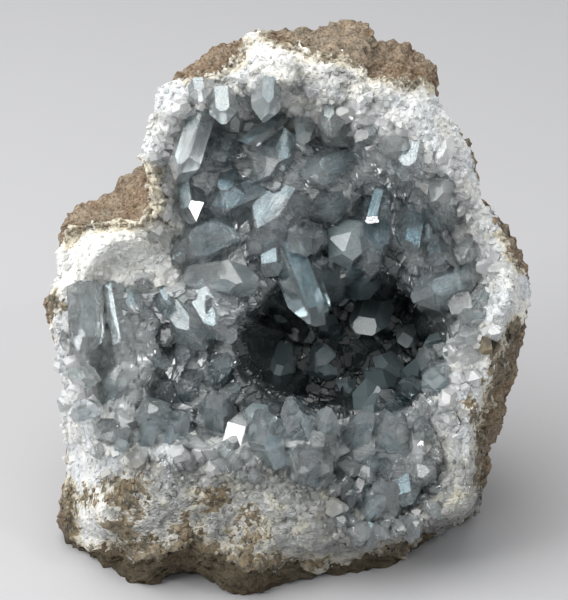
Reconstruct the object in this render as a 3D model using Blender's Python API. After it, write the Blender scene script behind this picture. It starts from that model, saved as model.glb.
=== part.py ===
"""A celestite geode that stands on its foot, about 18 cm tall.

Brown host rock wraps the back, and shows as patches round the broken edge. Inside it lies a
thick wall of massive white celestite, and a crust of blue-grey celestite crystals lines the
hollow. The broken face is drawn on a plane that leans back from upright: u runs to the right
along it, v runs up it and w comes straight out of it, all in millimetres.
"""

from math import cos, pi, radians, sin

import bmesh
import bpy
import numpy as np
from mathutils import Matrix, Vector

MM = 0.001
WELD = 1e-7  # points nearer than this are one, in metres

# Driving dimensions, in millimetres unless the name says otherwise
LEAN = radians(25)  # how far the plane of the broken face leans back from upright
LOWEST_V = -104.0  # the front edge of the foot, on the plane of the face
LOWEST_W = -18.0
FOOT_SETBACK = 54.0  # from the foot's front edge back to the part's origin
FACE_CENTRE = (5.0, -5.0)  # u and v of the middle of the broken face
HOLLOW_CENTRE = (22.0, -18.0)  # u and v of the deepest part of the hollow
BACK_CENTRE = (4.0, -36.0)  # u and v of the rearmost bulge, which is lower down
BACK_W = -116.0
HEART = (5.0, -15.0, -55.0)  # the rock's walls are measured along rays from here
CREST_W = -7.0  # the general level of the broken face
RIND_THICKNESS = 7.0
FOOT_THICKNESS = 5.0  # of the rock between the ground and the wall
RIND_RISE = 1.1  # how far a patch of rind comes forward for each millimetre that it is wide
TURN_IN = radians(32)  # the angle of the back over which the wall sinks under the rind
ROCK_LUMP = 2.6
WALL_LUMP = 1.8
GAP = 0.4  # clearance between the rock and the wall
CRUST_GAP = 0.7  # between the wall and the crust, measured straight out of the face
CRUST_DEPTH = 5.0
PLUG_DEPTH = 18.0  # how far the body that bounds the crust reaches into the wall
PLUG_TOP = 40.0
TIP_LEVEL = 4.0  # of a crystal that lies along the wall
RISE = 0.6  # how much of each listed rise is used
ROOT_DEPTH = 3.0  # how deep a crystal's root is sunk below the surface it grows on

# The outline of the whole specimen, clockwise from its peak: u, v, the depth w of the edge
# there, and how wide the brown rind shows inside the edge.
OUTLINE = (
    (23, 101, -32, 15), (32, 98, -32, 16), (34, 93, -30, 14), (42, 92, -30, 15),
    (48, 88, -28, 12), (53, 82, -26, 4), (55, 73, -24, 1), (57, 68, -22, 0),
    (62, 61, -24, 1.5), (66, 55, -24, 2), (69, 43, -24, 1), (72, 35, -24, 1.5),
    (79, 27, -26, 2.5), (85, 17, -28, 3), (88.5, 9, -30, 2), (88, -2, -30, 1.5),
    (86, -14, -32, 5), (84, -27, -34, 6), (81, -37, -36, 8), (78, -46, -38, 6),
    (74, -52, -40, 4), (74.5, -61, -44, 4), (72.5, -77, -58, 1), (65.5, -83, -56, 1.5),
    (47.5, -91, -44, 3), (38.5, -96, -36, 7), (20.5, -98, -30, 4), (0, -101.5, -24, 8),
    (-9.5, -105, -18, 12), (-18.5, -105, -18, 14), (-27.5, -99, -20, 12),
    (-39, -96.5, -22, 11), (-51, -102, -24, 14), (-61.5, -96, -32, 9),
    (-75, -90, -42, 2), (-81.5, -78, -40, 4), (-79.5, -65.5, -36, 2), (-80, -45, -30, 1),
    (-79.5, -27.5, -28, 0), (-82, -20, -28, 0.5), (-85.5, -1, -28, 2.5),
    (-81.5, 8, -28, 1), (-81, 23, -32, 3), (-80, 30, -34, 10), (-75, 34, -36, 16),
    (-64, 39, -34, 18), (-53, 47, -28, 7), (-51.5, 53, -24, 0), (-47, 65, -22, 0),
    (-44, 75, -24, 1), (-34.5, 82, -28, 3), (-25, 91, -30, 9), (-18, 93.5, -30, 8),
    (-11, 96.5, -28, 1), (0, 97, -30, 6), (11.5, 98.5, -32, 12),
)

# The hollows that sink into the face, which run together: centre u and v, half width,
# half height and depth.
PITS = (
    (22, -16, 42, 29, 56),
    (-6, 34, 50, 42, 24),
    (44, 14, 36, 34, 24),
    (-50, -16, 30, 38, 14),
    (-20, -30, 32, 24, 16),
    (38, -56, 26, 24, 12),
)

PIT_STEEPNESS = 1.8  # above 1 the hollows have steeper sides and flatter floors

# Where distinct crystals take over from the massive wall, clockwise from the top, u and v
DRUSE = (
    (8, 67), (24, 66), (36, 60), (48, 51), (57, 43), (67, 26), (72, 8), (70, -9),
    (62, -22), (59, -34), (55, -48), (52, -64), (48, -77), (38, -81), (26, -79), (18, -66),
    (2, -58), (-18, -57), (-38, -57), (-56, -54), (-70, -44), (-76, -26), (-75, -6),
    (-67, 4), (-54, 6), (-42, 12), (-40, 30), (-41, 52), (-38, 65), (-28, 71), (-10, 72),
)

# The larger crystals: u and v of the root, u and v of the tip, how far the tip stands nearer
# the viewer than the root, width, thickness, and the turn about the long axis in degrees
CRYSTALS = (
    # along the top and upper left of the hollow
    (-30, 67, -37, 42, 6, 12, 8, 20), (-21, 55, -24, 48, 14, 17, 14, 10),
    (0, 58, -8, 40, 9, 19, 15, -15), (-22, 73, -21, 61, 8, 10, 7, 0),
    (-6, 78, -6.5, 63, 9, 10.5, 8, -10), (2, 67, -15, 54, 9, 8, 4, 50),
    (-4, 42, -34, 29, 7, 18, 12, 12), (-34, 42, -32, 27, 9, 12, 9, 30),
    (17, 68, 16.5, 58, 5, 10, 8, 15), (7, 66, 9, 55, 6, 9, 7, 35),
    (31, 62, 27, 54, 6, 8, 6, -20), (-30, 76, -29, 69, 4, 8, 6, 0),
    # the middle of the hollow
    (1, 38, -13, 14, 6, 25, 17, 25), (-20, 25, -40, 15, 1, 20, 13, 5),
    (-34, 5, -8, 8, 10, 15, 12, 15), (-28, 3, -17, -15, 12, 18, 13, 20),
    (-40, -1, -28, -17, 8, 16, 12, 8), (-5, 22, -4, 7, 9, 12, 9, 10),
    (3, 26, 7, 19, 18, 11.5, 10, 0), (-1, 25, 12, -10, 14, 16, 12, -20),
    (32, 35, 33, 7.5, 13, 21, 14, -12), (36, 2, 29, -15, 22, 15, 12, 18),
    (7, -6, -8, -5, 7, 8, 7, 10), (24, 51, 6, 44, 10, 14, 11, 8),
    (22, 38, 11, 30, 10, 13, 10, -8), (36, 40, 32, 26, 7, 8, 6, 30),
    (-8, -18, -16, -15, 7, 10, 8, 25), (-1, -17, -4, -32, 9, 14, 11, -10),
    (15, -16, 12, -26, 7, 12, 9, 30), (49, -10, 43, -18, 8, 10, 8, 5),
    (42, -27, 36, -22, 9, 14, 12, 15), (24, -29, 22, -37, 7, 9, 7, -25),
    (5, -26, 19, -27, 7, 7, 6, 20),
    # the right-hand side
    (47, 35, 43, 16, 11, 11.5, 8, -25), (53, 32, 52.5, 16.5, 9, 8, 7, 15),
    (64, 6, 45, 0, 13, 16, 12, 10), (67, 22, 64, 14, 9, 8.5, 7, -5),
    (56, 22, 55, 11, 6, 10, 8, 20), (68, 14, 64, 3.5, 6, 9, 7, 35),
    (73, 3, 67.5, -3, 6, 8, 6, 0), (72, -6, 62, -6, 6, 6.5, 5, 10),
    (68, -12, 58.5, -15, 7, 8, 7, -15), (56, -28, 50, -18, 9, 9.5, 8, 25),
    (45, 54, 42, 41, 8, 12, 8, 10), (58, 43, 53, 34, 8, 10, 7, -20),
    # the lower rim
    (25, -54, 28, -38, 9, 12, 8, 25), (41, -55, 33, -40, 11, 15, 9, -20),
    (40, -40, 34, -32, 7, 8, 6, 10), (50, -34, 43, -29, 7, 9, 8, 25),
    (57, -30, 49, -24, 11, 13, 11, -10), (9, -52, 2, -34, 11, 12, 9, 35),
    (14, -50, 16, -37, 8, 9, 8, -20), (-2, -56, -9, -39, 10, 15, 11, 5),
    (43, -63, 44, -74, 8, 11, 8, 15), (29, -78, 34, -69, 7, 7, 6, 0),
    (52, -49, 46, -42, 8, 10, 8, 20), (-22, -55, -17, -49, 8, 6, 5, 15),
    (-24, -46, -24, -32, 9, 13, 9, -10), (-38, -36, -30, -26, 8, 14, 10, 20),
    (-25, -31, -21, -18, 10, 10, 8, 35), (-16, -30, -22, -37, 5, 9, 8, 0),
    (-50, -52, -45, -41, 7, 7, 5, 10), (-40, -51, -36, -40, 7, 9, 7, -25),
    (-58, -53, -54, -44, 8, 9, 7, 5),
    # the lower left
    (-71, 5, -69, -19.5, 8, 13, 9, -15), (-61, 5, -56, -19, 9, 9.5, 8, 30),
    (-38, -26, -53, -18, 9, 11.5, 9, 10), (-62, -37, -58, -23, 8, 11, 8, -20),
    (-45, -28, -53, -39, 5, 4.5, 3, 55), (-40, 22, -36, 12, 7, 8, 6, 15),
    (-44, 4, -40, -5, 8, 8, 7, -10), (-55, 3, -51, -5, 8, 8, 6, 25),
    (-75, -26, -66, -28, 7, 8, 6, 0), (-72, -40, -64, -37, 7, 9, 7, 15),
    (-66, -49, -60, -43, 8, 9, 7, -15),
    # and one more high on the left, with a broad smooth end
    (-19, 45, -21, 31, 11, 14, 11, 15),
)

# Celestite's faces as outward unit normals, with x along the crystal's length, y across its
# width and z through its thickness. They follow from its cell edges a, b and c.
CELL = np.array((8.36, 5.35, 6.87))
FLAT_FACE = (0, 0, 1)
PRISM_FACE = (0, 1, 1)
WEDGE_FACE = (2, 1, 0)
CHISEL_FACE = (1, 0, 1)

# Habits: where the wedge faces and the chisel faces would meet, as shares of the length, and
# how lopsided each pair of faces is
HABITS = ((1.0, 1.06, 0.06), (1.2, 0.98, -0.12), (0.92, 1.18, 0.13), (1.08, 1.0, -0.05))

# Colours and finishes: base colour, roughness
ROCK_LOOK = ((0.36, 0.27, 0.18), 0.9)
WALL_LOOK = ((0.78, 0.79, 0.8), 0.45)
CRYSTAL_LOOK = ((0.42, 0.52, 0.56), 0.12)


def clear_scene():
    """Removes whatever the file held."""
    for obj in list(bpy.data.objects):
        bpy.data.objects.remove(obj, do_unlink=True)


def collection(name, shown=True):
    made = bpy.data.collections.new(name)
    bpy.context.scene.collection.children.link(made)
    made.hide_render = not shown
    return made


def material(name, look):
    (red, green, blue), roughness = look
    made = bpy.data.materials.new(name)
    made.use_nodes = True
    shader = made.node_tree.nodes["Principled BSDF"]
    shader.inputs["Base Color"].default_value = (red, green, blue, 1)
    shader.inputs["Roughness"].default_value = roughness
    return made


def smooth(t):
    """An S-shaped step from 0 to 1, flat at both ends."""
    t = np.clip(t, 0, 1)
    return t * t * (3 - 2 * t)


def lattice(cell, seed):
    """A repeatable number from -1 to 1 for each whole-number cell."""
    mixed = cell[..., 0] * 73856093 ^ cell[..., 1] * 19349663 ^ cell[..., 2] * 83492791
    mixed = (mixed ^ seed * 2654435761) & 0xFFFFFFFF
    mixed = (mixed ^ mixed >> 15) * 2246822519 & 0xFFFFFFFF
    mixed = (mixed ^ mixed >> 13) * 3266489917 & 0xFFFFFFFF
    return (mixed ^ mixed >> 16) / 0x7FFFFFFF - 1


def lumps(points, size, seed):
    """Smooth random heights from -1 to 1 with bumps about size across."""
    scaled = points / size
    cell = np.floor(scaled).astype(np.int64)
    part = scaled - cell
    weight = part * part * (3 - 2 * part)
    total = 0
    for corner in np.ndindex(2, 2, 2):
        corner = np.array(corner)
        share = np.where(corner == 1, weight, 1 - weight).prod(-1)
        total = total + share * lattice(cell + corner, seed)
    return total


def to_world(points):
    """Points on the leaning face's u, v and w become upright x, y and z, in metres."""
    u, v, w = np.moveaxis(np.asarray(points, float), -1, 0)
    up, out = v - LOWEST_V, w - LOWEST_W
    y = up * sin(LEAN) - out * cos(LEAN) - FOOT_SETBACK
    z = up * cos(LEAN) + out * sin(LEAN)
    return np.stack((u, y, z), -1) * MM


def face_depth(u, v):
    """The level w of the broken face: a gently crowned plane with the pits sunk into it.

    Each pit is a round bowl, deepest at its centre, and the depths run together smoothly.
    """
    crown = CREST_W - 0.0007 * u * u - 0.0002 * v * v
    depths = 0
    for pit_u, pit_v, half_width, half_height, depth in PITS:
        reach = ((u - pit_u) / half_width) ** 2 + ((v - pit_v) / half_height) ** 2
        bowl = depth * smooth(PIT_STEEPNESS * (1.06 - reach))
        depths = depths + bowl**3
    return crown - np.cbrt(depths)


def bumped(points, height, size, seed):
    """Points moved along their rays from the rock's heart by smooth random heights."""
    rays = points - np.array(HEART)
    rays = rays / np.linalg.norm(rays, axis=-1, keepdims=True)
    rough = lumps(points, size, seed) + 0.5 * lumps(points, size / 2.3, seed + 1)
    return points + rays * (height * rough)[..., None]


def drawn_in(points, amount):
    """Points moved towards the rock's heart by a distance each."""
    rays = np.array(HEART) - points
    rays = rays / np.linalg.norm(rays, axis=-1, keepdims=True)
    return points + rays * np.asarray(amount)[..., None]


def edge_rows():
    """The specimen's edge and the edge of its white wall, each a ring of points."""
    outline = np.array(OUTLINE, float)
    edge, rind = outline[:, :3], outline[:, 3]
    inward = np.array(FACE_CENTRE) - edge[:, :2]
    inward = inward / np.linalg.norm(inward, axis=1, keepdims=True)
    wall_edge = edge.copy()
    wall_edge[:, :2] += inward * rind[:, None]
    wall_edge[:, 2] += rind * RIND_RISE
    return edge, wall_edge, rind


def evened(ring, reach):
    """Each entry averaged with its neighbours round the ring, up to reach places away."""
    turns = range(-reach, reach + 1)
    weights = [reach + 1 - abs(turn) for turn in turns]
    return sum(w * np.roll(ring, turn, axis=0) for w, turn in zip(weights, turns)) / sum(weights)


def back_row(edge, angle):
    """The ring of the rounded back at an angle behind the edge, a quarter turn at its pole.

    The outline shrinks as a power of the cosine and loses its notches, while its middle
    slides down to the bulge.
    """
    slide = sin(angle)
    rounded = smooth(angle / radians(55))
    ring = edge * (1 - rounded) + evened(edge, 5) * rounded
    middle = np.array(FACE_CENTRE) * (1 - slide) + np.array(BACK_CENTRE) * slide
    ring[:, :2] = middle + (ring[:, :2] - FACE_CENTRE) * cos(angle) ** 0.6
    ring[:, 2] = ring[:, 2] + (BACK_W - ring[:, 2]) * slide**0.9
    return ring


BACK_ANGLES = [radians(a) for a in (82, 70, 58, 46, 34, 22, 11)]


def rock_rows():
    """Rings of the whole rock from its back pole over the edge to a pole inside the wall."""
    edge, wall_edge, rind = edge_rows()
    bare = evened(smooth(1 - rind / 2), 1)  # 1 where the white wall itself makes the outline
    rows = []
    for angle in BACK_ANGLES:
        tuck = 2.0 * bare * smooth(1 - angle / radians(25))
        rows.append(bumped(drawn_in(back_row(edge, angle), tuck), ROCK_LUMP, 26, 3))
    rows.append(drawn_in(edge, 2.0 * bare))
    shoulder = (edge * 0.45 + wall_edge * 0.55) + np.array((0, 0, 0.8))
    rows.append(drawn_in(bumped(shoulder, 1.0, 9, 8), 2.5 * bare))
    lip = wall_edge + np.array((0, 0, -0.6))
    rows.append(drawn_in(lip, 3.0 * bare))
    for share, level in ((0.9, -42.0), (0.5, -82.0)):
        ring = wall_edge.copy()
        ring[:, :2] = FACE_CENTRE + (wall_edge[:, :2] - FACE_CENTRE) * share
        ring[:, 2] = level
        rows.append(ring)
    back = np.array((*BACK_CENTRE, BACK_W))
    front = np.array((*FACE_CENTRE, -86.0))
    return back, rows, front


def wall_rows(lift=0.0):
    """Rings of the white wall from its back pole over its edge to the middle of its face.

    A lift raises the face, which gives the room that a crust over it takes up.
    """
    edge, wall_edge, rind = edge_rows()
    rows = []
    for angle in BACK_ANGLES[1:]:
        sunk = smooth(angle / TURN_IN)
        ring = back_row(edge, angle)
        start = wall_edge - edge
        ring = ring + start * (1 - sunk)
        rows.append(drawn_in(ring, RIND_THICKNESS * sunk))
    rows.append(wall_edge)
    for share in (0.965, 0.9, 0.83, 0.75, 0.66, 0.56, 0.45, 0.33, 0.18):
        ring = wall_edge.copy()
        ring[:, :2] = HOLLOW_CENTRE + (wall_edge[:, :2] - HOLLOW_CENTRE) * share
        level = face_depth(ring[:, 0], ring[:, 1])
        level = level + WALL_LUMP * lumps(ring, 13, 21) + lift
        ring[:, 2] = wall_edge[:, 2] + (level - wall_edge[:, 2]) * smooth((1 - share) / 0.15)
        rows.append(ring)
    back = np.array((*BACK_CENTRE, BACK_W + RIND_THICKNESS))
    deepest = float(face_depth(*map(np.array, HOLLOW_CENTRE))) + lift
    return back, rows, np.array((*HOLLOW_CENTRE, deepest))


def lining_rows():
    """Rings of a plug over the hollow, from well inside the wall out to clear of its face."""
    outline = np.array(DRUSE, float)
    rows = []
    for share in (0.25, 0.5, 0.75, 1.0):
        around = HOLLOW_CENTRE + (outline - HOLLOW_CENTRE) * share
        level = face_depth(around[:, 0], around[:, 1]) - PLUG_DEPTH
        rows.append(np.column_stack((around, level)))
    rows.append(np.column_stack((outline, np.full(len(outline), PLUG_TOP))))
    middle = float(face_depth(*map(np.array, HOLLOW_CENTRE)))
    back = np.array((*HOLLOW_CENTRE, middle - PLUG_DEPTH))
    front = np.array((*HOLLOW_CENTRE, PLUG_TOP))
    return back, rows, front


def wrapped_sphere(name, back, rows, front, into):
    """A UV sphere whose parallels are moved on to the given rings, and its poles with them."""
    segments, parallels = len(rows[0]), len(rows) + 1
    bm = bmesh.new()
    bmesh.ops.create_uvsphere(bm, u_segments=segments, v_segments=parallels, radius=1)
    rings = [to_world(row) for row in rows]
    back, front = to_world(back), to_world(front)
    for vertex in bm.verts:
        down = round(Vector((0, 0, 1)).angle(vertex.co) / pi * parallels)
        turn = round(np.arctan2(-vertex.co.y, vertex.co.x) / (2 * pi) * segments) % segments
        if down == 0:
            vertex.co = front
        elif down == parallels:
            vertex.co = back
        else:
            vertex.co = rings[parallels - down - 1][turn]
    bmesh.ops.triangulate(bm, faces=bm.faces, quad_method="FIXED")
    bmesh.ops.recalc_face_normals(bm, faces=bm.faces)
    return finished(name, bm, into)


def finished(name, bm, into):
    """A new object that holds the mesh."""
    mesh = bpy.data.meshes.new(name)
    bm.to_mesh(mesh)
    bm.free()
    obj = bpy.data.objects.new(name, mesh)
    into.objects.link(obj)
    return obj


def grown(source, name, by, into):
    """A copy of a piece with every point moved out along its normal."""
    bm = bmesh.new()
    bm.from_mesh(source.data)
    bm.normal_update()
    moves = [vertex.normal * by * MM for vertex in bm.verts]
    for vertex, move in zip(bm.verts, moves):
        vertex.co += move
    return finished(name, bm, into)


def face_normal(form):
    """The outward unit normal of a crystal face from its Miller indices."""
    normal = np.array(form) / CELL
    return normal / np.linalg.norm(normal)


def signs(form):
    """Every face of a form: its indices with each sign that differs, tip end only for x."""
    choices = [(1,) if n == 0 or axis == 0 else (1, -1) for axis, n in enumerate(form)]
    return [
        (form[0] * a, form[1] * b, form[2] * c)
        for a in choices[0]
        for b in choices[1]
        for c in choices[2]
    ]


def crystal_planes(length, width, thickness, habit):
    """Each face of one crystal as its unit normal and its distance from the root."""
    wedge, chisel, skew = habit
    reaches = (
        (FLAT_FACE, lambda normal: thickness / 2),
        (PRISM_FACE, lambda normal: abs(normal[1]) * width / 2),
        (WEDGE_FACE, lambda normal: normal[0] * length * wedge),
        (CHISEL_FACE, lambda normal: normal[0] * length * chisel),
    )
    planes = []
    for form, reach in reaches:
        for side, face in enumerate(signs(form)):
            normal = face_normal(face)
            planes.append((normal, reach(normal) * (1 + skew * (-1) ** side)))
    return planes


def cut_block(length, width, thickness, habit):
    """A block cut down by the crystal's faces one after another, with its root left flat."""
    bm = bmesh.new()
    block = Matrix.Diagonal((length * 1.4, width * 1.4, thickness * 1.4, 1))
    block = Matrix.Translation((length * 0.7, 0, 0)) @ block
    bmesh.ops.create_cube(bm, size=1, matrix=block)
    for normal, distance in crystal_planes(length, width, thickness, habit):
        cut = bmesh.ops.bisect_plane(
            bm,
            geom=bm.verts[:] + bm.edges[:] + bm.faces[:],
            dist=1e-4,
            plane_co=Vector(normal) * distance,
            plane_no=Vector(normal),
            clear_outer=True,
        )
        rim = [edge for edge in cut["geom_cut"] if isinstance(edge, bmesh.types.BMEdge)]
        if rim:
            bmesh.ops.edgenet_fill(bm, edges=rim)
    bmesh.ops.remove_doubles(bm, verts=bm.verts, dist=1e-3)
    bmesh.ops.recalc_face_normals(bm, faces=bm.faces)
    return bm


def crystal(number, spec, into):
    """One crystal: rooted in the surface of the hollow, with its length along root to tip."""
    root_u, root_v, tip_u, tip_v, rise, width, thickness, turn = spec
    level = float(face_depth(np.array(root_u), np.array(root_v)))
    root = Vector((root_u, root_v, level - ROOT_DEPTH))
    tip = Vector((tip_u, tip_v, level + TIP_LEVEL + rise * RISE))
    along = (tip - root).normalized()
    across = along.cross(Vector((0, 0, 1))).normalized()
    through = across.cross(along) * -1
    placed = Matrix((along, across, through)).transposed().to_4x4()
    if placed.determinant() < 0:
        placed = Matrix((along, across * -1, through)).transposed().to_4x4()
    placed = Matrix.Translation(root) @ placed @ Matrix.Rotation(radians(turn), 4, "X")
    habit = HABITS[number % len(HABITS)]
    bm = cut_block((tip - root).length, width, thickness, habit)
    for vertex in bm.verts:
        vertex.co = to_world(placed @ vertex.co)
    bmesh.ops.recalc_face_normals(bm, faces=bm.faces)
    return finished(f"crystal_{number}", bm, into)


def boolean(obj, operation, other=None, group=None):
    """Adds a Boolean of one object or of a whole collection."""
    modifier = obj.modifiers.new(operation.title(), "BOOLEAN")
    modifier.operation = operation
    if group:
        modifier.operand_type = "COLLECTION"
        modifier.collection = group
    else:
        modifier.object = other
    return modifier


def level_cutter(name, height, into):
    """A slab whose top is at a height above the ground, in millimetres."""
    bm = bmesh.new()
    size = 400 * MM
    slab = Matrix.Translation((0, 0, height * MM - size / 2)) @ Matrix.Scale(size, 4)
    bmesh.ops.create_cube(bm, size=1, matrix=slab)
    return finished(name, bm, into)


def settle(obj, look):
    """Applies the Booleans, keeps the largest connected body, and gives the piece its look."""
    bpy.context.view_layer.update()
    graph = bpy.context.evaluated_depsgraph_get()
    mesh = bpy.data.meshes.new_from_object(obj.evaluated_get(graph))
    obj.modifiers.clear()
    obj.data = mesh
    bm = bmesh.new()
    bm.from_mesh(mesh)
    bmesh.ops.remove_doubles(bm, verts=bm.verts, dist=WELD)
    bmesh.ops.dissolve_degenerate(bm, edges=bm.edges, dist=WELD)
    bodies = connected_bodies(bm)
    bodies.sort(key=len)
    for body in bodies[:-1]:
        bmesh.ops.delete(bm, geom=body, context="VERTS")
    bmesh.ops.triangulate(bm, faces=bm.faces)
    bm.to_mesh(mesh)
    bm.free()
    mesh.materials.clear()
    mesh.materials.append(material(f"{obj.name}_look", look))


def connected_bodies(bm):
    """Lists of vertices that hang together."""
    left = set(bm.verts)
    bodies = []
    while left:
        body, front = [], [left.pop()]
        while front:
            vertex = front.pop()
            body.append(vertex)
            for edge in vertex.link_edges:
                other = edge.other_vert(vertex)
                if other in left:
                    left.remove(other)
                    front.append(other)
        bodies.append(body)
    return bodies


def main():
    clear_scene()
    shown = collection("celestite_geode")
    helpers = collection("cutters", shown=False)
    crystals = collection("crystals", shown=False)

    wall = wrapped_sphere("celestite_wall", *wall_rows(), shown)
    rock = wrapped_sphere("host_rock", *rock_rows(), shown)
    crust = wrapped_sphere("crystal_crust", *lining_rows(), shown)
    for number, spec in enumerate(CRYSTALS):
        crystal(number, spec, crystals)
    boolean(wall, "DIFFERENCE", level_cutter("wall_floor", FOOT_THICKNESS, helpers))
    settle(wall, WALL_LOOK)
    wall_room = grown(wall, "wall_room", GAP, helpers)

    boolean(rock, "DIFFERENCE", wall_room)
    boolean(rock, "DIFFERENCE", level_cutter("ground", 0, helpers))
    settle(rock, ROCK_LOOK)
    crust_top = wrapped_sphere("crust_top", *wall_rows(CRUST_DEPTH), helpers)
    crust_bed = wrapped_sphere("crust_bed", *wall_rows(CRUST_GAP), helpers)
    boolean(crust, "INTERSECT", crust_top)
    boolean(crust, "UNION", group=crystals)
    boolean(crust, "DIFFERENCE", crust_bed)
    settle(crust, CRYSTAL_LOOK)
    for helper in [*helpers.objects, *crystals.objects]:
        helper.hide_render = True
        helper.display_type = "WIRE"


main()
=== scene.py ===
"""The celestite geode in full detail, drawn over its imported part, as a studio photograph.

Lengths are in millimetres on the leaning plane of the geode's broken face, where u runs right,
v runs up the face and w comes straight out of it, until to_world turns them upright.
"""

import itertools
from math import cos, radians, sin

import bpy
import numpy as np
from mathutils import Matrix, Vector


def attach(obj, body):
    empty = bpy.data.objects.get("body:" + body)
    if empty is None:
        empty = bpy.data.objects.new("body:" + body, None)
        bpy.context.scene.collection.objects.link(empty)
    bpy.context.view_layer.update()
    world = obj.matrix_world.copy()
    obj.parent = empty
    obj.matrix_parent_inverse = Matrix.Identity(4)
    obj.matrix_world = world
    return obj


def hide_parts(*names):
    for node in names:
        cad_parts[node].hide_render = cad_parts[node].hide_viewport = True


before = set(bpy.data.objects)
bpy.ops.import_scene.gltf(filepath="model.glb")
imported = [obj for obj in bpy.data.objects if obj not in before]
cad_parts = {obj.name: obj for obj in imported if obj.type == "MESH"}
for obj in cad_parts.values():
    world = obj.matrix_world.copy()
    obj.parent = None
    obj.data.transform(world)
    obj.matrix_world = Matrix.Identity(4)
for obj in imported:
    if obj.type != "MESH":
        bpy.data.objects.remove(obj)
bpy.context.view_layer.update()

MM = 0.001

# The specimen's form, which follows the part
LEAN = radians(25)
LOWEST_V, LOWEST_W = -104.0, -18.0
FOOT_SETBACK = 54.0
FACE_CENTRE = np.array((5.0, -5.0))
HOLLOW_CENTRE = np.array((22.0, -18.0))
BACK_CENTRE = np.array((4.0, -36.0))
BACK_W = -116.0
HEART = np.array((5.0, -15.0, -55.0))  # what the lumps of the back stand out from
CREST_W = -7.0  # the highest level of the broken face
RIND_RISE = 1.1  # how steeply the rind's band climbs from the edge to the wall
ROCK_LUMP = 2.6
WALL_LUMP = 1.8
WALL_LUMP_SIZE, WALL_LUMP_SEED = 13, 21
CRUST_DEPTH = 4.0
ROOT_DEPTH = 3.0  # of the larger crystals, behind the level of the face
RISE = 0.6  # the share of a listed rise that a larger crystal's tip takes
WORN_WIDTH = 0.18  # of the larger crystals' rounded edges

# The outline, clockwise from the peak: u, v, the depth w of the edge there, and how wide
# the brown rind shows inside the edge
OUTLINE = (
    (23, 101, -32, 15), (32, 98, -32, 16), (34, 93, -30, 14), (42, 92, -30, 15),
    (48, 88, -28, 12), (53, 82, -26, 4), (55, 73, -24, 1), (57, 68, -22, 0),
    (62, 61, -24, 1.5), (66, 55, -24, 2), (69, 43, -24, 1), (72, 35, -24, 1.5),
    (79, 27, -26, 2.5), (85, 17, -28, 3), (88.5, 9, -30, 2), (88, -2, -30, 1.5),
    (86, -14, -32, 5), (84, -27, -34, 6), (81, -37, -36, 8), (78, -46, -38, 6),
    (74, -52, -40, 4), (74.5, -61, -44, 4), (72.5, -77, -58, 1), (65.5, -83, -56, 1.5),
    (47.5, -91, -44, 3), (38.5, -96, -36, 7), (20.5, -98, -30, 4), (0, -101.5, -24, 8),
    (-9.5, -105, -18, 12), (-18.5, -105, -18, 14), (-27.5, -99, -20, 12),
    (-39, -96.5, -22, 11), (-51, -102, -24, 14), (-61.5, -96, -32, 9),
    (-75, -90, -42, 2), (-81.5, -78, -40, 4), (-79.5, -65.5, -36, 2), (-80, -45, -30, 1),
    (-79.5, -27.5, -28, 0), (-82, -20, -28, 0.5), (-85.5, -1, -28, 2.5),
    (-81.5, 8, -28, 1), (-81, 23, -32, 3), (-80, 30, -34, 10), (-75, 34, -36, 16),
    (-64, 39, -34, 18), (-53, 47, -28, 7), (-51.5, 53, -24, 0), (-47, 65, -22, 0),
    (-44, 75, -24, 1), (-34.5, 82, -28, 3), (-25, 91, -30, 9), (-18, 93.5, -30, 8),
    (-11, 96.5, -28, 1), (0, 97, -30, 6), (11.5, 98.5, -32, 12),
)

# The hollows in the face: centre u and v, half width, half height and depth
PITS = (
    (22, -16, 42, 29, 56),
    (-6, 34, 50, 42, 24),
    (44, 14, 36, 34, 24),
    (-50, -16, 30, 38, 14),
    (-20, -30, 32, 24, 16),
    (38, -56, 26, 24, 12),
)

# Where distinct crystals take over from the massive wall, clockwise from the top, u and v
DRUSE = (
    (8, 67), (24, 66), (36, 60), (48, 51), (57, 43), (67, 26), (72, 8), (70, -9),
    (62, -22), (59, -34), (55, -48), (52, -64), (48, -77), (38, -81), (26, -79), (18, -66),
    (2, -58), (-18, -57), (-38, -57), (-56, -54), (-70, -44), (-76, -26), (-75, -6),
    (-67, 4), (-54, 6), (-42, 12), (-40, 30), (-41, 52), (-38, 65), (-28, 71), (-10, 72),
)

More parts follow.
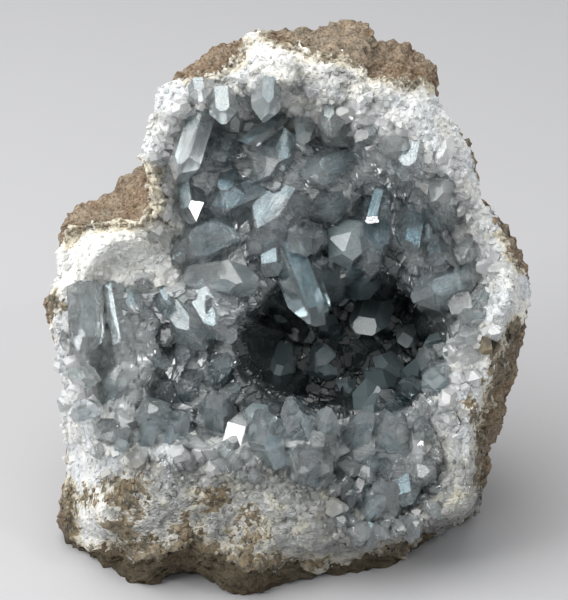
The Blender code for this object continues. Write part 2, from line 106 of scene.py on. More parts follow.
# The larger crystals: u and v of the root, u and v of the tip, how far the tip stands nearer
# the viewer than the root, width, thickness, and the turn about the long axis in degrees
CRYSTALS = (
    # along the top and upper left of the hollow
    (-30, 67, -37, 42, 6, 12, 8, 20), (-21, 55, -24, 48, 14, 17, 14, 10),
    (0, 58, -8, 40, 9, 19, 15, -15), (-22, 73, -21, 61, 8, 10, 7, 0),
    (-6, 78, -6.5, 63, 9, 10.5, 8, -10), (2, 67, -15, 54, 9, 8, 4, 50),
    (-4, 42, -34, 29, 7, 18, 12, 12), (-34, 42, -32, 27, 9, 12, 9, 30),
    (17, 68, 16.5, 58, 5, 10, 8, 15), (7, 66, 9, 55, 6, 9, 7, 35),
    (31, 62, 27, 54, 6, 8, 6, -20), (-30, 76, -29, 69, 4, 8, 6, 0),
    # the middle of the hollow
    (1, 38, -13, 14, 6, 25, 17, 25), (-20, 25, -40, 15, 1, 20, 13, 5),
    (-34, 5, -8, 8, 10, 15, 12, 15), (-28, 3, -17, -15, 12, 18, 13, 20),
    (-40, -1, -28, -17, 8, 16, 12, 8), (-5, 22, -4, 7, 9, 12, 9, 10),
    (3, 26, 7, 19, 18, 11.5, 10, 0), (-1, 25, 12, -10, 14, 16, 12, -20),
    (32, 35, 33, 7.5, 13, 21, 14, -12), (36, 2, 29, -15, 22, 15, 12, 18),
    (7, -6, -8, -5, 7, 8, 7, 10), (24, 51, 6, 44, 10, 14, 11, 8),
    (22, 38, 11, 30, 10, 13, 10, -8), (36, 40, 32, 26, 7, 8, 6, 30),
    (-8, -18, -16, -15, 7, 10, 8, 25), (-1, -17, -4, -32, 9, 14, 11, -10),
    (15, -16, 12, -26, 7, 12, 9, 30), (49, -10, 43, -18, 8, 10, 8, 5),
    (42, -27, 36, -22, 9, 14, 12, 15), (24, -29, 22, -37, 7, 9, 7, -25),
    (5, -26, 19, -27, 7, 7, 6, 20),
    # the right-hand side
    (47, 35, 43, 16, 11, 11.5, 8, -25), (53, 32, 52.5, 16.5, 9, 8, 7, 15),
    (64, 6, 45, 0, 13, 16, 12, 10), (67, 22, 64, 14, 9, 8.5, 7, -5),
    (56, 22, 55, 11, 6, 10, 8, 20), (68, 14, 64, 3.5, 6, 9, 7, 35),
    (73, 3, 67.5, -3, 6, 8, 6, 0), (72, -6, 62, -6, 6, 6.5, 5, 10),
    (68, -12, 58.5, -15, 7, 8, 7, -15), (56, -28, 50, -18, 9, 9.5, 8, 25),
    (45, 54, 42, 41, 8, 12, 8, 10), (58, 43, 53, 34, 8, 10, 7, -20),
    # the lower rim
    (25, -54, 28, -38, 9, 12, 8, 25), (41, -55, 33, -40, 11, 15, 9, -20),
    (40, -40, 34, -32, 7, 8, 6, 10), (50, -34, 43, -29, 7, 9, 8, 25),
    (57, -30, 49, -24, 11, 13, 11, -10), (9, -52, 2, -34, 11, 12, 9, 35),
    (14, -50, 16, -37, 8, 9, 8, -20), (-2, -56, -9, -39, 10, 15, 11, 5),
    (43, -63, 44, -74, 8, 11, 8, 15), (29, -78, 34, -69, 7, 7, 6, 0),
    (52, -49, 46, -42, 8, 10, 8, 20), (-22, -55, -17, -49, 8, 6, 5, 15),
    (-24, -46, -24, -32, 9, 13, 9, -10), (-38, -36, -30, -26, 8, 14, 10, 20),
    (-25, -31, -21, -18, 10, 10, 8, 35), (-16, -30, -22, -37, 5, 9, 8, 0),
    (-50, -52, -45, -41, 7, 7, 5, 10), (-40, -51, -36, -40, 7, 9, 7, -25),
    (-58, -53, -54, -44, 8, 9, 7, 5),
    # the lower left
    (-71, 5, -69, -19.5, 8, 13, 9, -15), (-61, 5, -56, -19, 9, 9.5, 8, 30),
    (-38, -26, -53, -18, 9, 11.5, 9, 10), (-62, -37, -58, -23, 8, 11, 8, -20),
    (-45, -28, -53, -39, 5, 4.5, 3, 55), (-40, 22, -36, 12, 7, 8, 6, 15),
    (-44, 4, -40, -5, 8, 8, 7, -10), (-55, 3, -51, -5, 8, 8, 6, 25),
    (-75, -26, -66, -28, 7, 8, 6, 0), (-72, -40, -64, -37, 7, 9, 7, 15),
    (-66, -49, -60, -43, 8, 9, 7, -15),
    # and one more high on the left, with a broad smooth end
    (-19, 45, -21, 31, 11, 14, 11, 15),
)

# Which of the larger crystals are milky, which are blue and clearest, and which take the darker
# copy of the celestite that is painted shade in the depths, counted from 0
MILKY = (
    0, 2, 3, 4, 8, 9, 11, 14, 15, 16, 18, 23, 35, 36, 38, 41, 44, 45, 46, 51, 54,
    57, 60, 66, 72,
)
BLUE = (19, 48, 49)
SHADE_PAINTED = (21, 22, 26, 27, 28, 29, 30, 31, 32)

# Habits: where the wedge faces and the chisel faces would meet, as shares of the length, and
# how lopsided each pair of faces is
HABITS = ((1.0, 1.06, 0.06), (1.2, 0.98, -0.12), (0.92, 1.18, 0.13), (1.08, 1.0, -0.05))

# Painted shade between the crystals: centre u and v, half width, half height, and the level w
# below which the shade darkens them
GAPS = (
    (22, -21, 45, 32, -20), (-7, -33, 19, 13, -12), (-42, -34, 10, 5, -14), (-42, -14, 5, 8, -13),
    (-32, -49, 8, 5, -15), (31, -68, 8, 5, -12), (13, 24, 5, 9, -20), (38, 12, 6, 9, -20),
)

# The deep dark recess: centre u and v, half width, half height
RECESS = (23, -20, 43, 30)

# Brown stains on the white front: centre u and v, half width, half height
STAINS = (
    (-57, -70, 6, 8), (-57, -81, 5, 6), (-25, -70, 5, 3.5), (-47, -89, 11, 5), (-33, -86, 7, 7),
    (-13, -84, 5, 9), (-10, -94, 8, 6), (2, -95, 9, 4), (40, -91, 5, 3.5), (-81, -78, 5, 12),
    (-84, -3, 4, 4), (-70, -70, 3, 4), (83, -13, 4, 5), (79, -28, 6, 11), (73, -54, 4, 9),
    (73, -15, 4, 3), (70, -64, 3, 4), (66, -40, 3, 4),
)


# Numbers that vary smoothly or in cells over space


def smooth(t):
    """An S-shaped step from 0 to 1, flat at both ends."""
    t = np.clip(t, 0, 1)
    return t * t * (3 - 2 * t)


def mixed(a, b, t):
    return a + (b - a) * t


def unit(vectors):
    """Vectors with their length made 1."""
    return vectors / np.linalg.norm(vectors, axis=-1, keepdims=True)


def lattice(cell, seed):
    """A repeatable number from -1 to 1 for each whole-number cell."""
    mixed_up = cell[..., 0] * 73856093 ^ cell[..., 1] * 19349663 ^ cell[..., 2] * 83492791
    mixed_up = (mixed_up ^ seed * 2654435761) & 0xFFFFFFFF
    mixed_up = (mixed_up ^ mixed_up >> 15) * 2246822519 & 0xFFFFFFFF
    mixed_up = (mixed_up ^ mixed_up >> 13) * 3266489917 & 0xFFFFFFFF
    return (mixed_up ^ mixed_up >> 16) / 0x7FFFFFFF - 1


def lumps(points, size, seed):
    """Smooth random heights from -1 to 1 with bumps about size across."""
    scaled = points / size
    cell = np.floor(scaled).astype(np.int64)
    part = scaled - cell
    weight = part * part * (3 - 2 * part)
    total = 0
    for corner in np.ndindex(2, 2, 2):
        corner = np.array(corner)
        share = np.where(corner == 1, weight, 1 - weight).prod(-1)
        total = total + share * lattice(cell + corner, seed)
    return total


def rough(points, size, seed, octaves=4, gain=0.55):
    """Lumps on lumps, each octave about half as large as the last."""
    total, height = 0, 1.0
    for octave in range(octaves):
        total = total + height * lumps(points, size / 2.1**octave, seed + 11 * octave)
        height *= gain
    return total


def nearest_cells(points, size, seed):
    """For scattered cell centres about size apart: the nearest one's offset and whole
    numbers."""
    scaled = points / size
    home = np.floor(scaled).astype(np.int64)
    best = np.full(points.shape[:-1], 9.0)
    offset = np.zeros(points.shape)
    cell = home.copy()
    for step in itertools.product((-1, 0, 1), repeat=3):
        around = home + np.array(step)
        centre = np.stack([lattice(around, seed + axis) for axis in range(3)], -1)
        away = scaled - (around + 0.5 + 0.45 * centre)
        distance = np.linalg.norm(away, axis=-1)
        nearer = distance < best
        best = np.where(nearer, distance, best)
        offset = np.where(nearer[..., None], away, offset)
        cell = np.where(nearer[..., None], around, cell)
    return offset * size, cell


def facets(points, size, steepness, seed):
    """Heights of a crust of tilted flat faces: within each cell the height is a plane through
    the cell's centre, with a tilt and a level of its own."""
    offset, cell = nearest_cells(points, size, seed)
    tilt = np.stack([lattice(cell, seed + 20 + axis) for axis in range(3)], -1)
    level = lattice(cell, seed + 30)
    return steepness * ((offset * tilt).sum(-1) + 0.35 * size * level)


# Places on the leaning face


def to_world(points):
    """Points on the leaning face's u, v and w become upright x, y and z, in metres."""
    u, v, w = np.moveaxis(np.asarray(points, float), -1, 0)
    up, out = v - LOWEST_V, w - LOWEST_W
    y = up * sin(LEAN) - out * cos(LEAN) - FOOT_SETBACK
    z = up * cos(LEAN) + out * sin(LEAN)
    return np.stack((u, y, z), -1) * MM


def in_oval(u, v, at_u, at_v, half_width, half_height):
    """The square of how far out places lie in an oval: 0 at its centre and 1 on its edge."""
    return ((u - at_u) / half_width) ** 2 + ((v - at_v) / half_height) ** 2


def round_the_edge(table, count):
    """Rows of a closed table, resampled at count places by a curve through every row."""
    table = np.array(table, float)
    place = np.arange(count) * len(table) / count
    start = np.floor(place).astype(int)
    t = (place - start)[:, None]
    a, b, c, d = (table[(start + step) % len(table)] for step in (-1, 0, 1, 2))
    curve = 2 * b + (c - a) * t + (2 * a - 5 * b + 4 * c - d) * t**2
    return (curve + (3 * b - a - 3 * c + d) * t**3) / 2


def evened(ring, reach):
    """Each entry averaged with its neighbours round the ring, up to reach places away."""
    turns = range(-reach, reach + 1)
    weights = [reach + 1 - abs(turn) for turn in turns]
    return sum(w * np.roll(ring, turn, axis=0) for w, turn in zip(weights, turns)) / sum(weights)


def face_depth(u, v):
    """The level w of the broken face: a gently crowned plane with the pits sunk into it."""
    crown = CREST_W - 0.0007 * u * u - 0.0002 * v * v
    depths = 0
    for *pit, depth in PITS:
        depths = depths + (depth * smooth(1.8 * (1.06 - in_oval(u, v, *pit)))) ** 3
    return crown - np.cbrt(depths)


def inside(outline, u, v):
    """Whether points lie in a closed outline, by counting the edges to the right of each."""
    outline = np.array(outline, float)
    crossed = np.zeros(np.shape(u), bool)
    for (u0, v0), (u1, v1) in zip(outline, np.roll(outline, -1, 0)):
        spans = (v0 > v) != (v1 > v)
        crossing = u0 + (v - v0) * (u1 - u0) / (v1 - v0 + 1e-12)
        crossed ^= spans & (u < crossing)
    return crossed


def moved_out(points, amount):
    """Points moved away from the rock's heart by a distance each."""
    return points + unit(points - HEART) * np.asarray(amount)[..., None]


def bumped(points, height, size, seed):
    """Points moved along their rays from the rock's heart by smooth random heights."""
    rough_height = lumps(points, size, seed) + 0.5 * lumps(points, size / 2.3, seed + 1)
    return moved_out(points, height * rough_height)


# Meshes


def linked(name, data):
    """An object in the scene that holds a mesh, a light or a camera."""
    obj = bpy.data.objects.new(name, data)
    bpy.context.scene.collection.objects.link(obj)
    return obj


def piece(name, mesh, node, materials):
    """An object at the origin that takes the place of a node of the part."""
    for material in materials:
        mesh.materials.append(material)
    obj = linked(name, mesh)
    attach(obj, "root")
    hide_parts(node)
    return obj


def mesh_from(name, points, corners, sizes, smooth_faces=False):
    """A mesh from all its points, the faces' corners in one list, and each face's size."""
    mesh = bpy.data.meshes.new(name)
    mesh.vertices.add(len(points))
    mesh.vertices.foreach_set("co", np.ascontiguousarray(points, np.float32).ravel())
    mesh.loops.add(len(corners))
    mesh.loops.foreach_set("vertex_index", np.ascontiguousarray(corners, np.int32))
    mesh.polygons.add(len(sizes))
    starts = np.concatenate(((0,), np.cumsum(sizes)[:-1]))
    mesh.polygons.foreach_set("loop_start", starts.astype(np.int32))
    mesh.polygons.foreach_set("loop_total", np.asarray(sizes, np.int32))
    mesh.polygons.foreach_set("use_smooth", np.full(len(sizes), smooth_faces))
    mesh.update(calc_edges=True)
    return mesh


def marked(mesh, **values):
    """Stores a number or a vector for each vertex under each name."""
    for name, value in values.items():
        kind, field = ("FLOAT_VECTOR", "vector") if value.ndim == 2 else ("FLOAT", "value")
        layer = mesh.attributes.new(name, kind, "POINT")
        layer.data.foreach_set(field, np.ascontiguousarray(value, np.float32).ravel())
    return mesh


def closed_skin(name, rings, back, front, smooth_faces=True):
    """A skin over rings that run from a back pole to a front pole, with the poles closed, and
    its points. The rings are given as ring, place on the ring, and u, v and w."""
    ring_count, around = rings.shape[:2]
    points = np.concatenate((rings.reshape(-1, 3), (back, front)))
    ring, place = np.meshgrid(np.arange(ring_count - 1), np.arange(around), indexing="ij")
    here, beside = ring * around + place, ring * around + (place + 1) % around
    quads = np.stack((here, here + around, beside + around, beside), -1).reshape(-1, 4)
    place = np.arange(around)
    after = (place + 1) % around
    last = (ring_count - 1) * around
    back_fan = np.stack((place, after, np.full(around, len(points) - 2)), -1)
    front_fan = np.stack((last + after, last + place, np.full(around, len(points) - 1)), -1)
    corners = np.concatenate((quads.ravel(), back_fan.ravel(), front_fan.ravel()))
    sizes = np.concatenate((np.full(len(quads), 4), np.full(2 * around, 3)))
    return mesh_from(name, to_world(points), corners, sizes, smooth_faces), points


# Crystals

# The mineral's cell lengths, which set the angles between the faces of its forms
CELL = np.array((8.36, 5.35, 6.87))


def faces_of(form):
    """The outward unit normals of a form, with every sign across the crystal, tip end only."""
    options = [(1,) if n == 0 or axis == 0 else (1, -1) for axis, n in enumerate(form)]
    return unit(np.array([np.array(form) * s / CELL for s in itertools.product(*options)]))


def crystal_shape(length, width, thickness, wedge=1.0, chisel=1.06, corner=1.12, skew=0.0):
    """A crystal with its root at the origin and its tip along x, as corners and faces.

    It is the space behind all of its face planes: each corner is where three planes meet
    and no other plane cuts it off. wedge, chisel and corner say how far out along the
    length each set of end faces would meet, and skew shifts one of each pair.
    """
    normals, reaches = [np.array((-1.0, 0, 0))], [0.0]
    forms = (
        ((0, 0, 1), lambda n: thickness / 2),
        ((0, 1, 1), lambda n: abs(n[1]) * width / 2),
        ((2, 1, 0), lambda n: n[0] * length * wedge),
        ((1, 0, 1), lambda n: n[0] * length * chisel),
        ((1, 1, 1), lambda n: n[0] * length * corner),
    )
    for form, reach in forms:
        for side, normal in enumerate(faces_of(form)):
            normals.append(normal)
            reaches.append(reach(normal) * (1 + skew * (-1) ** side))
    # the opposite flat face
    normals.append(np.array((0, 0, -1.0)))
    reaches.append(thickness / 2 * (1 - skew))
    normals, reaches = np.array(normals), np.array(reaches)
    triples = np.array(list(itertools.combinations(range(len(normals)), 3)))
    solids = normals[triples]
    solvable = abs(np.linalg.det(solids)) > 1e-6
    triples, solids = triples[solvable], solids[solvable]
    meets = np.linalg.solve(solids, reaches[triples][..., None])[..., 0]
    kept = (meets @ normals.T <= reaches + 1e-6).all(1)
    corners = np.unique(meets[kept].round(6), axis=0)
    faces = []
    for normal, reach in zip(normals, reaches):
        on_face = np.flatnonzero(abs(corners @ normal - reach) < 1e-4)
        if len(on_face) < 3:
            continue
        spread = corners[on_face] - corners[on_face].mean(0)
        first = spread[np.argmax(np.linalg.norm(spread, axis=1))]
        first = first / np.linalg.norm(first)
        turn = np.arctan2(spread @ np.cross(normal, first), spread @ first)
        faces.append(on_face[np.argsort(turn)])
    return corners, faces


def leaning(rng, normals, spread):
    """Unit axes along the normals, each leaning away at random."""
    return unit(normals + rng.normal(0, spread, normals.shape))


def frames_along(rng, axes):
    """Rotation matrices whose first column is each axis, turned about it at random."""
    turns = rng.uniform(0, 6.28, len(axes))
    helper = np.where(abs(axes[:, 2:]) < 0.9, (0.0, 0.0, 1.0), (0.0, 1.0, 0.0))
    across = unit(np.cross(helper, axes))
    through = np.cross(axes, across)
    c, s = np.cos(turns)[:, None], np.sin(turns)[:, None]
    return np.stack((axes, c * across + s * through, c * through - s * across), -1)


def crystal_mesh(name, batches, shaded=1.0, paled=1.0):
    """One mesh from batches of crystals, each with its points, corners, faces' sizes, faces'
    materials, points within their own crystal, and tone.

    Each vertex also keeps its painted shade, darker deeper in the hollow, and how pale it is,
    each times a share.
    """
    points, corners, sizes, slots, local, tone = map(np.concatenate, zip(*batches))
    mesh = mesh_from(name, to_world(points), corners, sizes)
    mesh.polygons.foreach_set("material_index", slots.astype(np.int32))
    deep, rim = shaded * hollow_shade(points), paled * paleness(points)
    return marked(mesh, grain=local, tone=tone, deep=deep, rim=rim)


def gathered(name, places, kinds, frames, scales, looks=None):
    """One mesh that holds a copy of a small crystal at each place, of a kind, turned by its
    frame and scaled."""
    batches = []
    offset = 0
    looks = np.zeros(len(places), int) if looks is None else looks
    tones = lattice(np.arange(len(places))[:, None] * np.array((1, 7, 3)), 91)
    for kind, (shape, faces) in enumerate(SMALL_SHAPES):
        chosen = np.flatnonzero(kinds == kind)
        if not len(chosen):
            continue
        scaled = shape[None] * scales[chosen][:, None, :]
        world = np.einsum("nij,nkj->nki", frames[chosen], scaled) + places[chosen][:, None]
        starts = offset + np.arange(len(chosen))[:, None] * len(shape)
        batches.append((
            world.reshape(-1, 3),
            (starts + np.concatenate(faces)).ravel(),
            np.tile([len(face) for face in faces], len(chosen)),
            np.repeat(looks[chosen], len(faces)),
            scaled.reshape(-1, 3),
            np.repeat(tones[chosen], len(shape)),
        ))
        offset += len(chosen) * len(shape)
    return crystal_mesh(name, batches)


def from_border(points):
    """How far points lie from the line round the crystals, seen along w."""
    away = np.full(len(points), 99.0)
    for at_u, at_v in round_the_edge(DRUSE, 100):
        away = np.minimum(away, np.hypot(points[:, 0] - at_u, points[:, 1] - at_v))
    return away


def paleness(points):
    """How pale the crystals are: most by their border and at the left of the hollow, less so
    at its foot."""
    left = smooth((-42 - points[:, 0]) / 18)
    by_border = smooth(1 - from_border(points) / 13)
    by_border = by_border * mixed(1, 0.3, smooth((-52 - points[:, 1]) / 12))
    return np.maximum(by_border, 0.75 * left)


def grime_and_painted_shading(points):
    """How much the white wall is greyed: by grime and painted shade low on its front, away from
    the left edge, and a little over the top of the hollow. Below 0 it is lightened by a painted
    light, on the pad left of the hollow."""
    u, v = points[:, 0], points[:, 1]
    # low on the front: partly grime, partly painted shade
    low = smooth((-40 - v) / 32) * smooth((u + 74) / 22)
    top = 0.4 * smooth(1.5 - in_oval(u, v, 4, 73, 34, 13))
    # painted light that lifts the shaded pad left of the hollow
    painted_light = smooth(1.5 - in_oval(u, v, -60, 18, 26, 22))
    return np.maximum(low, top) - painted_light


def hollow_shade(points):
    """Painted shade: 0 on the rim of the hollow and 1 in its depths, with the shaded gaps between
    the crystals near 1 too.
    """
    u, v, w = points.T
    shade = smooth((-24 - w) / 32)
    for *gap, level in GAPS:
        dark = 0.8 * smooth(1.5 - in_oval(u, v, *gap))
        shade = np.maximum(shade, dark * smooth((level - w) / 9))
    return shade


# Materials

CELESTITE_IOR = 1.62


class Wire:
    """An output in a node tree; sums and products of wires add nodes that work them out."""

    def __init__(self, tree, socket):
        self.tree, self.socket = tree, socket

    def math(self, operation, *values):
        return added(self.tree, "ShaderNodeMath", dict(enumerate(values)), operation=operation)

    def __add__(self, other):
        return self.math("ADD", self, other)

    def __sub__(self, other):
        return self.math("SUBTRACT", self, other)

    def __mul__(self, other):
        return self.math("MULTIPLY", self, other)

    def __rsub__(self, other):
        return self.math("SUBTRACT", other, self)

    __radd__, __rmul__ = __add__, __mul__

    def step(self, low, high):
        """0 below low and 1 above high, with a smooth rise between."""
        inputs = {0: self, 1: low, 2: high, 3: 0.0, 4: 1.0}
        return added(self.tree, "ShaderNodeMapRange", inputs, interpolation_type="SMOOTHSTEP")


def feed(tree, slot, value):
    """Links a wire to a socket, or stores a constant there."""
    if isinstance(value, Wire):
        tree.links.new(value.socket, slot)
    elif isinstance(value, tuple) and len(value) == 3 and slot.type == "RGBA":
        slot.default_value = (*value, 1)
    else:
        slot.default_value = value


def added(tree, kind, inputs, output=0, **settings):
    """The output of a new node, from its settings and the values or wires of its sockets."""
    node = tree.nodes.new(kind)
    for name, value in settings.items():
        setattr(node, name, value)
    for socket, value in inputs.items():
        feed(tree, node.inputs[socket], value)
    return Wire(tree, node.outputs[output])


class Shading:
    """A material on one Principled shader."""

    def __init__(self, name, **constants):
        self.material = bpy.data.materials.new(name)
        self.material.use_nodes = True
        self.tree = self.material.node_tree
        self.shader = self.tree.nodes["Principled BSDF"]
        self.set(**constants)

    def set(self, **values):
        """Feeds the shader's sockets; an underscore in a name stands for a space."""
        for name, value in values.items():
            feed(self.tree, self.shader.inputs[name.replace("_", " ")], value)

    def attribute(self, name, output="Fac"):
        return added(self.tree, "ShaderNodeAttribute", {}, output, attribute_name=name)

    def noise(self, size, detail=4.0, roughness=0.6, at=None):
        """Smooth noise about 0.5, with lumps about size across, over the object unless a
        vector says at what."""
        scale = (1000.0 if at is None else 1.0) / size
        at = at or added(self.tree, "ShaderNodeTexCoord", {}, "Object")
        inputs = {"Vector": at, "Scale": scale, "Detail": detail, "Roughness": roughness}
        return added(self.tree, "ShaderNodeTexNoise", inputs)

    def blend(self, factor, a, b):
        """The colour a where the factor is 0 and b where it is 1."""
        return added(self.tree, "ShaderNodeMix", {0: factor, 6: a, 7: b}, 2, data_type="RGBA")

    def stretched(self, vector):
        """A vector for markings that are drawn out along its first axis."""
        inputs = {0: vector, 1: (0.12, 1.0, 1.0)}
        return added(self.tree, "ShaderNodeVectorMath", inputs, operation="MULTIPLY")

    def bump(self, height, distance, strength=1.0):
        inputs = {"Height": height, "Distance": distance, "Strength": strength}
        self.set(Normal=added(self.tree, "ShaderNodeBump", inputs))


# The crystals' looks and then the floor's: name; the colour where it is clear, where cloudy, and
# under the painted shade deep in the hollow; transmission, haze, how cloudy it has to be to look
# so, and how cracked it is
CRYSTAL_LOOKS = (
    ("clear_celestite", (0.74, 0.85, 0.89), (0.84, 0.89, 0.91), (0.33, 0.46, 0.50),
     0.96, 0.05, 0.5, 0.4),
    ("milky_celestite", (0.68, 0.78, 0.81), (0.83, 0.87, 0.88), (0.28, 0.38, 0.41),
     0.86, 0.13, 0.46, 0.4),
    ("blue_celestite", (0.60, 0.76, 0.81), (0.76, 0.85, 0.87), (0.34, 0.48, 0.52),
     0.95, 0.06, 0.5, 0.4),
    ("worn_edges", (0.84, 0.87, 0.88), (0.92, 0.93, 0.93), (0.50, 0.56, 0.57),
     0.6, 0.25, 0.5, 0.4),
    # a darker copy of the celestite for crystals deep in the shade: painted shade
    ("shade_painted_celestite", (0.31, 0.39, 0.41), (0.43, 0.49, 0.50), (0.13, 0.17, 0.18),
     0.35, 0.2, 0.5, 0.2),
    # the hollow's floor: dark grey as painted shade between the crystals, near black in the
    # depths
    ("hollow_floor", (0.15, 0.17, 0.18), (0.30, 0.32, 0.32), (0.010, 0.016, 0.018),
     0.0, 0.5, 0.5, 0.12),
)
CLEAR_SLOT, MILKY_SLOT, BLUE_SLOT, WORN_SLOT, SHADE_PAINTED_SLOT = range(5)


def crystal_material(name, clear, cloudy, deep, through, haze, cloud_at, cracked):
    """Grey-blue celestite: hazy inside, with glassy faces from a clear coat. It is cloudier by
    the rim, and in the depths a painted shade makes it darker, less cloudy, less cracked and
    duller."""
    look = Shading(name, IOR=CELESTITE_IOR, Transmission_Weight=through, Coat_Roughness=0.03)
    local = look.attribute("grain", "Vector")
    tone = look.attribute("tone")
    # how much painted shade falls here, deep in the hollow and in the gaps
    depth = look.attribute("deep")
    veil = look.noise(6.0, 5.0, 0.65)
    wisps = look.noise(1.8, 3.0, 0.7)
    rim = look.attribute("rim")
    lines = look.noise(0.6, 3.0, at=look.stretched(local))
    cloudiness = veil + 0.3 * (wisps - 0.5) + 0.08 * tone - 0.12 * depth + 0.12 * rim
    cloud = cloudiness.step(cloud_at - 0.1, cloud_at + 0.16)
    colour = look.blend(cloud, clear, cloudy)
    # darker streaks along the crystal, real markings, in the painted shade's colour
    colour = look.blend(lines.step(0.42, 0.62) * 0.3, colour, deep)
    colour = look.blend(rim * (0.3 + 0.7 * cracked), colour, (0.9, 0.91, 0.9))
    # painted shade: darker towards the shade colour in the depths
    colour = look.blend(depth, colour, deep)
    cracks = look.noise(1.0, 4.0, 0.8).step(0.57, 0.7) * (cracked - 0.9 * cracked * depth)
    colour = look.blend(cracks, colour, (0.93, 0.95, 0.95))
    # the painted shade also dims the glassy coat in the depths
    shine = 1 - depth.step(0.3, 0.8) * 0.8
    look.set(Base_Color=colour, Roughness=haze * (0.4 + 0.9 * cloud), Coat_Weight=shine)
    look.bump(lines + 0.3 * wisps, 0.0002, 0.3)
    return look.material


def wall_material(name, through, roughness):
    """Sugary white celestite with pale grey patches, greyer where it is low from grime and
    painted shade, creamier there, lighter where a painted light lifts it, and cream and brown
    stains."""
    look = Shading(name, IOR=CELESTITE_IOR, Transmission_Weight=through, Coat_Weight=0.25)
    patch = look.noise(11.0, 4.0, 0.6)
    grain = look.noise(1.3, 3.0, 0.7)
    colour = look.blend(patch.step(0.4, 0.62), (0.61, 0.63, 0.64), (0.80, 0.79, 0.755))
    colour = look.blend(grain.step(0.35, 0.6) * 0.2, colour, (0.55, 0.58, 0.60))
    low = look.attribute("low")
    # greyer low on the front: grime and painted shade
    grey = (low + 3.0 * (look.noise(12.0, 5.0, 0.65) - 0.5)).step(0.0, 0.9) * 0.9
    colour = look.blend(grey * low.step(0.0, 0.3), colour, (0.19, 0.195, 0.185))
    # lighter where low is below 0: painted light
    colour = look.blend((low * -1.0).step(0.0, 1.0) * 0.4, colour, (0.82, 0.81, 0.75))
    cream = (look.noise(8.0, 4.0) - 0.1 * low).step(0.42, 0.6) * 0.4 * low
    colour = look.blend(cream, colour, (0.58, 0.53, 0.38))
    stain = look.attribute("stain")
    cream = look.blend(patch.step(0.45, 0.6), (0.58, 0.53, 0.41), (0.76, 0.73, 0.65))
    colour = look.blend(stain.step(0.05, 0.5) * (1 - 0.6 * low), colour, cream)
    spotted = (stain + 1.6 * (look.noise(2.6, 6.0, 0.75) - 0.5)).step(0.45, 0.85)
    brown = look.blend(look.noise(3.0).step(0.4, 0.6), (0.06, 0.045, 0.022), (0.20, 0.15, 0.08))
    colour = look.blend(spotted * 0.95, colour, brown)
    look.set(Base_Color=colour, Roughness=roughness + 0.3 * grain)
    look.bump(look.noise(0.8, 4.0, 0.7) + 0.6 * grain, 0.0003, 0.3)
    return look.material


def rock_material(name):
    """Earthy host rock: tan, brown and olive-grey, with pale grains."""
    look = Shading(name, IOR=1.5)
    broad = look.noise(22.0, 4.0, 0.6)
    middle = look.noise(5.0, 5.0, 0.65)
    fine = look.noise(1.0, 3.0, 0.75)
    colour = look.blend(broad.step(0.42, 0.6), (0.27, 0.18, 0.11), (0.25, 0.21, 0.155))
    colour = look.blend(middle.step(0.42, 0.62), colour, (0.38, 0.295, 0.205))
    colour = look.blend(fine.step(0.52, 0.7) * 0.8, colour, (0.52, 0.46, 0.37))
    # dark where the fine bumps sink: painted shade in the crevices
    colour = look.blend(fine.step(0.5, 0.34) * 0.75, colour, (0.07, 0.05, 0.035))
    # darker near the foot: partly browner rock, partly painted shade
    colour = look.blend(look.attribute("low") * 0.75, colour, (0.055, 0.046, 0.022))
    look.set(Base_Color=colour, Roughness=0.93)
    look.bump(middle * 0.6 + fine, 0.0016, 1.0)
    return look.material


# The rock and the wall

AROUND = 520  # points round each ring
BACK_RINGS, BAND_RINGS = 118, 32
ROCK_TUCK = 4.5  # how far the rock draws back behind a bare edge of the wall
CALM_RING = 70  # from which the rock is less rough where the edge is bare
ROCK_LIP = ((0.95, 5.0), (0.9, 16.0), (0.82, 34.0), (0.5, 58.0))
ROCK_LIP_W, ROCK_POLE_W = -86, -84.0


def ring_normals(rings):
    """Outward unit normals of a skin given as rings: the product of its slopes from ring to
    ring and round each ring; and the area that each point stands for."""
    slopes = np.gradient(rings, axis=0), np.roll(rings, -1, 1) - np.roll(rings, 1, 1)
    normals = np.cross(*slopes)
    area = np.maximum(np.linalg.norm(normals, axis=-1), 1e-9)
    normals = normals / area[..., None]
    return normals * np.sign((normals * (rings - HEART)).sum(-1).mean()), area


def edges(count):
    """The specimen's edge and the edge of its white wall as fine rings, and the rind's width."""
    table = round_the_edge(OUTLINE, count)
    edge, rind = table[:, :3], np.maximum(table[:, 3], 0)
    ragged = rough(edge, 7.0, 60, 4, 0.7)
    rind = np.maximum(rind + ragged * 2.6 * smooth(rind / 4), 0)
    inward = unit(FACE_CENTRE - edge[:, :2])
    wall_edge = edge.copy()
    wall_edge[:, :2] += inward * rind[:, None]
    wall_edge[:, 2] += rind * RIND_RISE
    return edge, wall_edge, rind


WALL_EDGE = evened(edges(400)[1], 6)


def wall_level(u, v):
    """The level w of the white wall: the face, which falls away to the wall's edge all
    round."""
    away = WALL_EDGE[:, :2] - HOLLOW_CENTRE
    turn = np.arctan2(away[:, 1], away[:, 0])
    here = np.arctan2(v - HOLLOW_CENTRE[1], u - HOLLOW_CENTRE[0])
    reach = np.interp(here, turn, np.hypot(away[:, 0], away[:, 1]), period=2 * np.pi)
    start = np.interp(here, turn, WALL_EDGE[:, 2], period=2 * np.pi) + 1.0
    share = np.hypot(u - HOLLOW_CENTRE[0], v - HOLLOW_CENTRE[1]) / reach
    return mixed(start, face_depth(u, v), smooth((1 - share) / 0.13))


def face_normals(u, v):
    """Unit normals of the white wall's level, on the leaning face's axes."""
    step = 1.5
    across = (wall_level(u + step, v) - wall_level(u - step, v)) / (2 * step)
    along = (wall_level(u, v + step) - wall_level(u, v - step)) / (2 * step)
    return unit(np.stack((-across, -along, np.ones_like(across)), -1))


